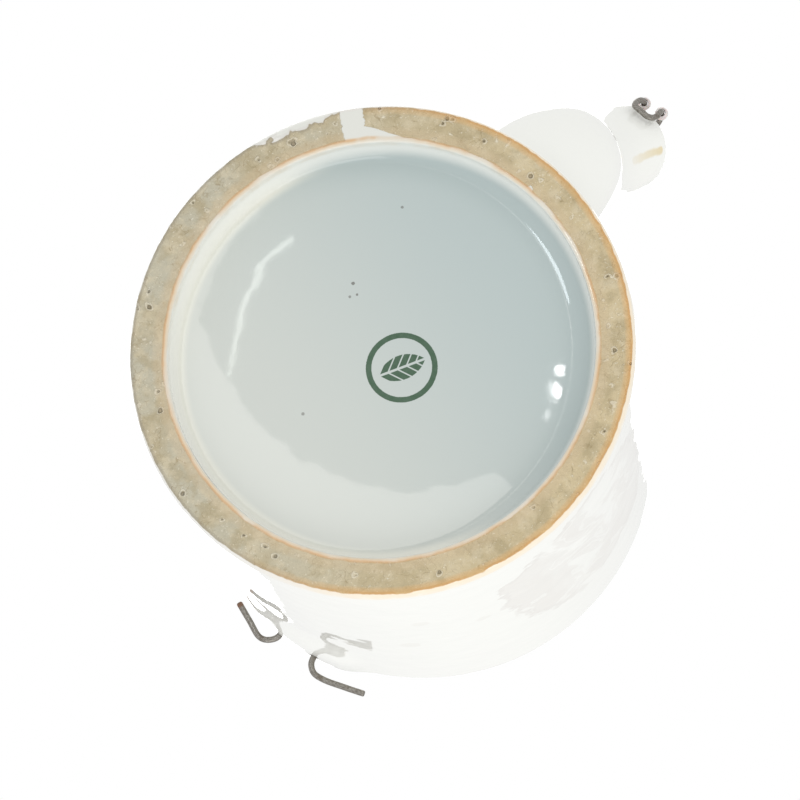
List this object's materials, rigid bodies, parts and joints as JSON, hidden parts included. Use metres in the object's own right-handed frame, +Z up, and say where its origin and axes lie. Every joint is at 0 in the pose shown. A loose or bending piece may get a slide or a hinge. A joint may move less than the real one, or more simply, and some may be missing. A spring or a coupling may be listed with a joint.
{
  "type": "cream jug",
  "caption": "Cylindrical white porcelain cream jug with an S-shaped tubular spout, unglazed foot ring, bound overhead handle, wire staples and a wire clip on the lip.",
  "frame": {"origin": "middle of the footprint, on the plane the foot ring stands on", "axes": "+X towards the spout, +Y across the jug, +Z up along the jug's own axis, which stands 14.0 mm to the -X side of the origin"},
  "size_m": [0.105, 0.0716, 0.0981],
  "materials": {
    "porcelain": "clear glossy glaze, unglazed beige foot ring",
    "bamboo": "split bamboo, satin",
    "cane": "split cane binding, satin",
    "steel_wire": "drawn wire, dull grey",
    "bead": "pale, semi-gloss"
  },
  "bodies": {
    "root": {"jug_body": "porcelain", "handle_strap": "bamboo", "grip_binding": "cane", "rear_staple": "steel_wire", "front_staple": "steel_wire", "spout_clip": "steel_wire", "clip_bead_left": "bead", "clip_bead_right": "bead"}
  },
  "joints": []
}
